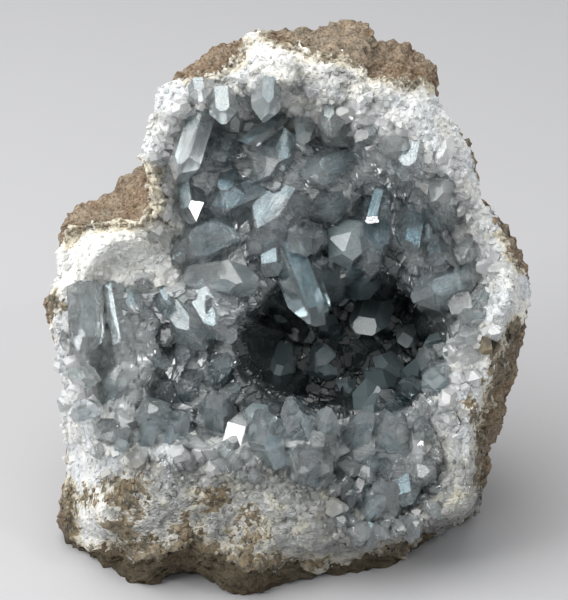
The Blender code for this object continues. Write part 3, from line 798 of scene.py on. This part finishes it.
def back_ring(edge, angle):
    """The ring of the rounded back at an angle behind the edge, a quarter turn at its pole."""
    slide = sin(angle)
    rounded = smooth(angle / radians(55))
    reach = round(5 * len(edge) / len(OUTLINE))
    ring = edge * (1 - rounded) + evened(edge, reach) * rounded
    middle = FACE_CENTRE * (1 - slide) + BACK_CENTRE * slide
    ring[:, :2] = middle + (ring[:, :2] - FACE_CENTRE) * cos(angle) ** 0.6
    ring[:, 2] = ring[:, 2] + (BACK_W - ring[:, 2]) * slide**0.9
    return ring


def grounded(points):
    """Points with nothing below the level of the flat foot."""
    up, out = points[..., 1] - LOWEST_V, points[..., 2] - LOWEST_W
    height = up * cos(LEAN) + out * sin(LEAN)
    lift = np.maximum(0.02 - height, 0)
    points = points.copy()
    points[..., 1] += lift * cos(LEAN)
    points[..., 2] += lift * sin(LEAN)
    return points


def rock_skin():
    """The rock's skin: the rounded back, then the rind's band over the edge, then a lip that
    tucks in under the wall. Lumps of several sizes and small pits roughen it."""
    edge, wall_edge, rind = edges(AROUND)
    bare = evened(smooth(1 - rind / 2), 9)
    rings = []
    for angle in np.radians(np.linspace(88, 0, BACK_RINGS)):
        tuck = ROCK_TUCK * bare * smooth(1 - angle / radians(38))
        rings.append(moved_out(bumped(back_ring(edge, angle), ROCK_LUMP, 26, 3), -tuck))
    for q in np.linspace(0.06, 1, BAND_RINGS):
        ring = edge * (1 - q) + wall_edge * q
        ring[:, 2] += 3.2 * q * (1 - q) - 0.6 * q
        rings.append(moved_out(ring, -(ROCK_TUCK + q) * bare))
    for share, drop in ROCK_LIP:
        ring = wall_edge.copy()
        ring[:, :2] = FACE_CENTRE + (wall_edge[:, :2] - FACE_CENTRE) * share
        ring[:, 2] = np.maximum(wall_edge[:, 2] - drop, ROCK_LIP_W)
        rings.append(ring)
    rings = np.array(rings)
    flat = rings.reshape(-1, 3)
    height = 1.1 * rough(flat, 7.0, 70, 5, 0.65) + 0.8 * facets(flat, 2.8, 0.7, 75)
    offset = nearest_cells(flat, 5.0, 78)[0]
    pits = smooth(1 - np.linalg.norm(offset, axis=1) / 1.8)
    height = (height - 1.4 * pits).reshape(rings.shape[:2])
    height[CALM_RING:] *= 1 - 0.8 * bare
    height[:3] *= 0
    height[-len(ROCK_LIP):] *= 0
    rings = grounded(rings + ring_normals(rings)[0] * height[..., None])
    back = np.array((*BACK_CENTRE, BACK_W))
    front = np.array((*FACE_CENTRE, ROCK_POLE_W))
    mesh, points = closed_skin("rock_skin", rings, back, front)
    # low: the rock darkens near its foot, partly browner rock, partly painted shade
    return marked(mesh, low=smooth((-74 - points[:, 1]) / 20))


def stained(points):
    """How brown the white celestite is: near the rind's patches and at the listed stains."""
    u, v = points[:, 0], points[:, 1]
    stain = np.zeros(len(points))
    ragged = 0.7 * rough(points, 5.0, 63, 5, 0.8)
    for at_u, at_v, half_width, half_height in STAINS:
        reach = np.hypot((u - at_u) / half_width, (v - at_v) / half_height) + ragged
        stain = np.maximum(stain, smooth(1.6 - reach))
    table = round_the_edge(OUTLINE, 224)
    border = table[:, :2] + unit(FACE_CENTRE - table[:, :2]) * table[:, 3:]
    nearest = np.full(len(points), 99.0)
    for (at_u, at_v), rind in zip(border, table[:, 3]):
        if rind > 2.5:
            nearest = np.minimum(nearest, np.hypot(u - at_u, v - at_v))
    return np.maximum(stain, 0.75 * smooth(1 - nearest / 5.5 + 0.3 * ragged))


# How far behind the edge the rings of the wall's hidden back lie, in degrees
BEHIND = (80, 60, 45, 33, 26, 21, 17.5, 15, 12.5, 10, 8, 6, 4, 2)
HIDDEN_RINGS, BARE_RINGS = 5, 7  # the rings that stay smooth, and those without grains
SUNK_BEHIND, SUNK_UNDER_CRYSTALS = 9.0, 4.5


def wall_rings():
    """The wall's skin from its hidden back over its edge to the middle of its face, sunk well
    under the crystals where they cover it."""
    edge, wall_edge, rind = edges(AROUND)
    rings = []
    for angle in np.radians(BEHIND):
        sunk = smooth(angle / radians(32))
        ring = back_ring(edge, angle) + (wall_edge - edge) * (1 - sunk)
        rings.append(moved_out(ring, -SUNK_BEHIND * sunk))
    for overlap, lift in ((1.6, -0.6), (1.3, 0.5), (0.7, 1.0)):
        skirt = wall_edge.copy()
        outward = unit(wall_edge[:, :2] - FACE_CENTRE)
        reach = overlap * smooth(rind / 2) * (1 + 0.8 * rough(wall_edge, 3.0, 88, 3))
        skirt[:, :2] += outward * reach[:, None]
        skirt[:, 2] += lift - reach * RIND_RISE
        rings.append(skirt)
    even_edge = evened(wall_edge, 7)
    for share in 1 - np.concatenate((np.linspace(0, 0.42, 138), np.linspace(0.5, 0.95, 8))):
        ring = mixed(wall_edge, even_edge, smooth((1 - share) / 0.04))
        start = ring[:, 2] + 1.0
        ring[:, :2] = HOLLOW_CENTRE + (ring[:, :2] - HOLLOW_CENTRE) * share
        lump = WALL_LUMP * lumps(ring, WALL_LUMP_SIZE, WALL_LUMP_SEED)
        level = face_depth(ring[:, 0], ring[:, 1]) + lump
        covered = inside(DRUSE, ring[:, 0], ring[:, 1]) * smooth((from_border(ring) - 5) / 6)
        level = level - SUNK_UNDER_CRYSTALS * covered
        ring[:, 2] = mixed(start, level, smooth((1 - share) / 0.13))
        rings.append(ring)
    return np.array(rings)


def rough_wall():
    """The wall's rings with sugary roughness: small tilted facets on broader lumps."""
    rings = wall_rings()
    flat = rings.reshape(-1, 3)
    lumpy = 1.1 + 1.3 * np.maximum(grime_and_painted_shading(flat), 0)
    height = lumpy * rough(flat, 9.0, 80, 3) + facets(flat, 2.0, 0.3, 84)
    height = height.reshape(rings.shape[:2])
    height[:HIDDEN_RINGS] *= 0
    return grounded(rings + ring_normals(rings)[0] * height[..., None])


def wall_skin(rings):
    """The massive wall under its grains."""
    u, v = HOLLOW_CENTRE
    front = np.array((u, v, float(face_depth(u, v))))
    back = np.array((*BACK_CENTRE, BACK_W + SUNK_BEHIND))
    mesh, points = closed_skin("wall_skin", rings, back, front, smooth_faces=False)
    # low carries the wall's grime, its painted shade and its painted light
    return marked(mesh, stain=stained(points), low=grime_and_painted_shading(points))


def even_descent(border, count):
    """Rings from the border to the middle of the hollow along its floor, evenly spaced on it:
    each ray's shares are read back from its running length over the curved floor."""
    shares = np.linspace(1.0, 0.02, 400)[:, None, None]
    around = HOLLOW_CENTRE + (border - HOLLOW_CENTRE) * shares
    lift = mixed(-3.0, CRUST_DEPTH - 0.8, smooth((1 - shares[..., 0]) / 0.1))
    path = np.dstack((around, wall_level(around[..., 0], around[..., 1]) + lift))
    steps = np.linalg.norm(np.diff(path, axis=0), axis=-1)
    length = np.concatenate((np.zeros((1, len(border))), np.cumsum(steps, axis=0)))
    wanted = np.linspace(0, 1, count)[:, None] * length[-1]
    rings = np.empty((count, len(border), 3))
    for ray in range(len(border)):
        for axis in range(3):
            rings[:, ray, axis] = np.interp(wanted[:, ray], length[:, ray], path[:, ray, axis])
    return rings


def crust_skin():
    """The floor that the crystals grow from: it follows the hollow a little in front of the
    wall, faceted, and turns down into the wall all round."""
    border = round_the_edge(DRUSE, 400)
    ragged = lumps(np.column_stack((border, 0 * border[:, 0])), 24.0, 44)
    border = border + (HOLLOW_CENTRE - border) * (0.05 + 0.04 * ragged)[:, None]
    rings = []
    for share in (0.2, 0.5, 0.8, 0.97):
        around = HOLLOW_CENTRE + (border - HOLLOW_CENTRE) * share
        level = wall_level(around[:, 0], around[:, 1]) - 4.0
        rings.append(np.column_stack((around, level)))
    rings = np.concatenate((rings, even_descent(border, 190)))
    flat = rings.reshape(-1, 3)
    bump = facets(flat, 7.5, 0.3, 51) + facets(flat, 4.0, 0.2, 55)
    bump = bump.reshape(rings.shape[:2])
    bump[:4] = 0
    normals = face_normals(rings[..., 0], rings[..., 1])
    rings = rings + normals * bump[..., None]
    u, v = HOLLOW_CENTRE
    level = float(face_depth(u, v))
    back, front = np.array((u, v, level - 4)), np.array((u, v, level + CRUST_DEPTH))
    mesh, points = closed_skin("crust_skin", rings, back, front, smooth_faces=False)
    # painted shade on the floor, deeper down the hollow
    deep, rim = hollow_shade(points), paleness(points)
    return marked(mesh, grain=points, tone=lumps(points, 9, 57), deep=deep, rim=rim)


# The crystals and grains


def hero_crystals():
    """The larger crystals, each at its listed place."""
    batches = []
    offset = 0
    for number, (root_u, root_v, tip_u, tip_v, rise, width, thick, turn) in enumerate(CRYSTALS):
        level = float(face_depth(root_u, root_v))
        root = np.array((root_u, root_v, level - ROOT_DEPTH))
        tip = np.array((tip_u, tip_v, level + CRUST_DEPTH + rise * RISE))
        axis = unit(tip - root)
        tone = lattice(np.array([(number, 9, number)]), 17)
        wedge, chisel, skew = HABITS[number % len(HABITS)]
        shape, faces = crystal_shape(
            np.linalg.norm(tip - root), width, thick, wedge, chisel, max(wedge, 1.1), skew
        )
        across = unit(np.cross(axis, (0, 0, 1.0)))
        through = np.cross(axis, across)
        c, s = cos(radians(turn)), sin(radians(turn))
        turned = np.stack((axis, c * across + s * through, c * through - s * across), -1)
        look = MILKY_SLOT * (number in MILKY) + BLUE_SLOT * (number in BLUE)
        look += SHADE_PAINTED_SLOT * (number in SHADE_PAINTED)
        batches.append((
            shape @ turned.T + root,
            np.concatenate(faces) + offset,
            [len(face) for face in faces],
            np.full(len(faces), look),
            shape,
            np.full(len(shape), tone),
        ))
        offset += len(shape)
    return crystal_mesh("hero_crystals", batches, shaded=0.4, paled=0.6)


def hides_a_hero(tips):
    """Whether points stand in front of one of the larger crystals, seen along w."""
    hides = np.zeros(len(tips), bool)
    for root_u, root_v, tip_u, tip_v, rise, width, _, _ in CRYSTALS:
        level = float(face_depth(root_u, root_v))
        root, along = np.array((root_u, root_v)), np.array((tip_u - root_u, tip_v - root_v))
        share = np.clip((tips[:, :2] - root) @ along / (along @ along), 0, 1)
        away = np.linalg.norm(tips[:, :2] - root - share[:, None] * along, axis=1)
        front = mixed(level, level + CRUST_DEPTH + rise * RISE, share)
        hides |= (away < 0.5 * width + 0.8) & (tips[:, 2] > front - 3)
    return hides


def scattered(rng, count):
    """Random places within the line round the crystals, thicker where the face is steep."""
    u = rng.uniform(-90, 92, count * 6)
    v = rng.uniform(-108, 104, count * 6)
    steep = 1 / face_normals(u, v)[:, 2]
    kept = inside(DRUSE, u, v) & (rng.uniform(0, 3, len(u)) < steep)
    return u[kept][:count], v[kept][:count]


# The shapes of the small crystals and grains, for a length of 1
SMALL_SHAPES = [
    crystal_shape(1, 0.6, 0.46),
    crystal_shape(1, 0.74, 0.52, wedge=1.02, chisel=1.1),
    crystal_shape(1, 0.54, 0.48, wedge=1.1, chisel=1.0, corner=1.05),
    crystal_shape(1, 0.78, 0.5, wedge=0.95, chisel=1.08),
    crystal_shape(1, 0.66, 0.44, wedge=1.05, chisel=1.15, corner=1.02, skew=0.1),
    crystal_shape(1, 0.72, 0.62, wedge=1.0, chisel=1.02, corner=1.04, skew=0.06),
]


def grown_shapes(rng, axes, lengths, slimmest, stoutest):
    """Random kinds, turns and girths for crystals along axes."""
    kinds = rng.integers(0, len(SMALL_SHAPES), len(axes))
    girth = rng.uniform(slimmest, stoutest, len(axes))
    scales = lengths[:, None] * np.stack((np.ones_like(girth), girth, girth), -1)
    return kinds, frames_along(rng, axes), scales


def grown_crystals(name, count, seed, shortest, longest, spread, lift):
    """Crystals that grow out of the hollow's wall along its normal, each leaning at random,
    but for those that would hide a larger one or fill the dark recess."""
    rng = np.random.default_rng(seed)
    u, v = scattered(rng, count)
    axes = leaning(rng, face_normals(u, v), spread)
    lengths = shortest + (longest - shortest) * rng.uniform(0, 1, len(u)) ** 1.8
    level = wall_level(u, v) + lift
    places = np.stack((u, v, level), -1) - axes * lengths[:, None] * 0.35
    tips = places + axes * lengths[:, None]
    recess = in_oval(tips[:, 0], tips[:, 1], *RECESS)
    hides = hides_a_hero(tips) | hides_a_hero(mixed(places, tips, 0.7))
    kept = ~hides & ((recess > 1) | ((tips[:, 2] < -26) & (lengths > 11.5)))
    axes, lengths, places = axes[kept], lengths[kept], places[kept]
    shapes = grown_shapes(rng, axes, lengths, 0.95, 1.45)
    shade, luck = hollow_shade(places), rng.uniform(0, 1, len(places))
    bright = np.where(luck > 0.25 + 0.6 * shade, MILKY_SLOT, CLEAR_SLOT)
    # crystals deep in the shade mostly take the darker copy, as painted shade
    looks = np.where((shade > 0.65) & (luck < 0.6), SHADE_PAINTED_SLOT, bright)
    return gathered(name, places, *shapes, looks)


def border_crystals(count, seed):
    """Small crystals that straddle the line where the crystals take over, milky low down and
    pale higher up."""
    rng = np.random.default_rng(seed)
    line = round_the_edge(DRUSE, 2000)[rng.integers(0, 2000, count)]
    u, v = (line + unit(HOLLOW_CENTRE - line) * rng.normal(0.5, 3.2, count)[:, None]).T
    axes = leaning(rng, face_normals(u, v), 0.45)
    lengths = rng.uniform(3.5, 9.5, count)
    lump = WALL_LUMP * lumps(np.stack((u, v, 0 * u), -1), WALL_LUMP_SIZE, WALL_LUMP_SEED)
    level = wall_level(u, v) + lump + 0.6
    places = np.stack((u, v, level), -1) - axes * lengths[:, None] * 0.45
    within = inside(HOLLOW_CENTRE + (WALL_EDGE[:, :2] - HOLLOW_CENTRE) * 0.95, u, v)
    kept = within & ~hides_a_hero(places + axes * lengths[:, None])
    places, axes, lengths = places[kept], axes[kept], lengths[kept]
    shapes = grown_shapes(rng, axes, lengths, 0.9, 1.4)
    high = rng.uniform(-62, -42, len(places)) < places[:, 1]
    return gathered("border_crystals", places, *shapes, np.where(high, WORN_SLOT, MILKY_SLOT))


def wall_grains(name, rings, count, seed, smallest, largest):
    """Small blocky grains standing on the wall between its edge and the crystals, larger
    towards the hollow."""
    rng = np.random.default_rng(seed)
    normals, area = ring_normals(rings)
    rind = edges(AROUND)[2]
    druse = round_the_edge(DRUSE, 400)
    hidden = inside(HOLLOW_CENTRE + (druse - HOLLOW_CENTRE) * 0.93, rings[..., 0], rings[..., 1])
    shown = np.where(hidden, 0.0, area)
    shown[:BARE_RINGS] = 0
    shown[BARE_RINGS : len(BEHIND)] *= smooth(1 - rind / 2)
    shown[to_world(rings)[..., 2] < 3 * MM] = 0
    chosen = rng.choice(shown.size, count, replace=False, p=(shown / shown.sum()).ravel())
    places, normals = rings.reshape(-1, 3)[chosen], normals.reshape(-1, 3)[chosen]
    away = from_border(places)
    size = mixed(largest, smallest, smooth(away / 15)) * rng.uniform(0.6, 1.5, count)
    axes = leaning(rng, normals, 0.6)
    places = places - axes * size[:, None] * 0.72
    kinds = rng.integers(0, len(SMALL_SHAPES), count)
    scales = size[:, None] * rng.uniform((0.7, 1.1, 1.3), (1.0, 1.7, 2.4), (count, 3))
    mesh = gathered(name, places, kinds, frames_along(rng, axes), scales)
    order = np.argsort(kinds, kind="stable")
    count_each = np.array([len(SMALL_SHAPES[kind][0]) for kind in kinds])[order]
    # the grains take the wall's stains, and its grime, painted shade and painted light
    stain, low = (np.repeat(mark(places)[order], count_each) for mark in (stained, grime_and_painted_shading))
    return marked(mesh, stain=stain, low=low)


# The pieces

rock = rock_material("host_rock_look")
massive = wall_material("massive_celestite", 0.0, 0.45)
sugar = wall_material("sugary_celestite", 0.2, 0.35)
*looks, floor_of_hollow = (crystal_material(*look) for look in CRYSTAL_LOOKS)

piece("rock_skin", rock_skin(), "host_rock", [rock])
wall = rough_wall()
piece("wall_skin", wall_skin(wall), "celestite_wall", [massive])
# their count, seed, smallest and largest
for name, *numbers in (
    ("wall_grains_fine", 4700, 5, 1.0, 1.9),
    ("wall_grains_more", 4500, 7, 1.2, 2.5),
    ("wall_grains_coarse", 1200, 6, 1.6, 4.6),
):
    piece(name, wall_grains(name, wall, *numbers), "celestite_wall", [sugar])
piece("crust_skin", crust_skin(), "crystal_crust", [floor_of_hollow])
larger = piece("hero_crystals", hero_crystals(), "crystal_crust", looks)
bevel = larger.modifiers.new("worn_edges", "BEVEL")
bevel.width, bevel.segments, bevel.limit_method = WORN_WIDTH * MM, 1, "ANGLE"
bevel.material = WORN_SLOT
# their count, seed, shortest, longest, spread and lift
for name, *numbers in (
    ("mid_crystals", 560, 31, 12.0, 23.0, 0.34, 1.4),
    ("small_crystals", 320, 32, 7.5, 12.5, 0.3, 1.2),
):
    piece(name, grown_crystals(name, *numbers), "crystal_crust", looks)
piece("border_crystals", border_crystals(700, 33), "crystal_crust", looks)

# The studio: a pale floor out to the horizon, a broad soft light from above and two windows

FLOOR_REACH = 40  # in metres, each way
floor_corners = np.array(((-1, -1, 0), (1, -1, 0), (1, 1, 0), (-1, 1, 0))) * FLOOR_REACH
floor_mesh = mesh_from("floor", floor_corners, (0, 1, 2, 3), (4,))
paper = Shading("pale_paper", Base_Color=(0.45, 0.45, 0.46), Roughness=0.9)
floor_mesh.materials.append(paper.material)
floor = linked("floor", floor_mesh)

world = bpy.data.worlds.new("soft_room")
world.use_nodes = True
sky = world.node_tree.nodes["Background"].inputs
sky["Color"].default_value = (0.97, 0.985, 1.0, 1)
sky["Strength"].default_value = 0.56
bpy.context.scene.world = world


def lamp(name, place, aim, size, power, colour=(1, 1, 1)):
    """A soft square light at a place, aimed at a point, in metres and watts."""
    light = bpy.data.lights.new(name, "AREA")
    light.size, light.energy, light.color = size, power, colour
    obj = linked(name, light)
    obj.location = place
    obj.rotation_euler = (Vector(aim) - Vector(place)).to_track_quat("-Z", "Y").to_euler()


AIM = (0, 0, 0.08)
lamp("skylight", (-0.5, -0.1, 1.1), AIM, 1.6, 21, (1.0, 0.99, 0.975))
lamp("window", (-0.95, -0.75, 0.7), AIM, 0.42, 5.5)
lamp("far_window", (0.75, -0.7, 1.1), AIM, 0.15, 2.2)

VIEW_DISTANCE = 900.0
VIEW_W = -28.0  # the plane that the camera is set up for
SHOWN_HEIGHT = 216.0  # of that plane, from the top of the picture to its bottom
SENSOR = 36
camera_data = bpy.data.cameras.new("camera")
camera_data.sensor_width = SENSOR
camera_data.lens = SENSOR * VIEW_DISTANCE / SHOWN_HEIGHT
camera_data.clip_start = 0.05
camera = linked("camera", camera_data)
camera.location = to_world(np.array((0.0, 0.0, VIEW_W + VIEW_DISTANCE)))
camera.rotation_euler = (radians(90) - LEAN, 0, 0)
bpy.context.scene.camera = camera
bpy.context.scene.view_settings.view_transform = "Standard"
